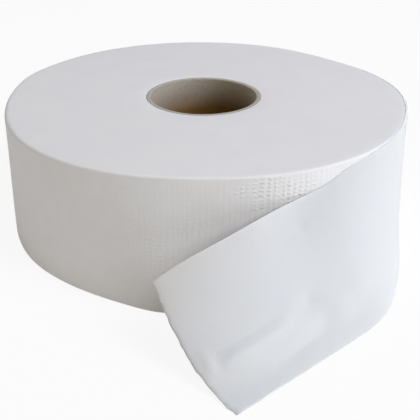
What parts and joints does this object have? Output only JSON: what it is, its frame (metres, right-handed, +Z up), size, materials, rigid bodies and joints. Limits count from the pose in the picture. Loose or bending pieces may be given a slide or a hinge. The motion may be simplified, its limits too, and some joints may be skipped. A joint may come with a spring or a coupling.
{
  "type": "toilet paper roll",
  "caption": "Jumbo toilet paper roll standing on its end: web wound on a cardboard core, free end pulled out and leaning back on the roll.",
  "frame": {"origin": "on the roll's axis, in the plane of the end face that it stands on", "axes": "+Z up along the roll's axis; the free end is pulled out towards -Y, from the roll's +X side"},
  "size_m": [0.2835, 0.3712, 0.09],
  "materials": {
    "tissue_paper": "matt",
    "core_board": "matt"
  },
  "bodies": {
    "root": {"paper_roll": "tissue_paper", "cardboard_core": "core_board"}
  },
  "joints": []
}
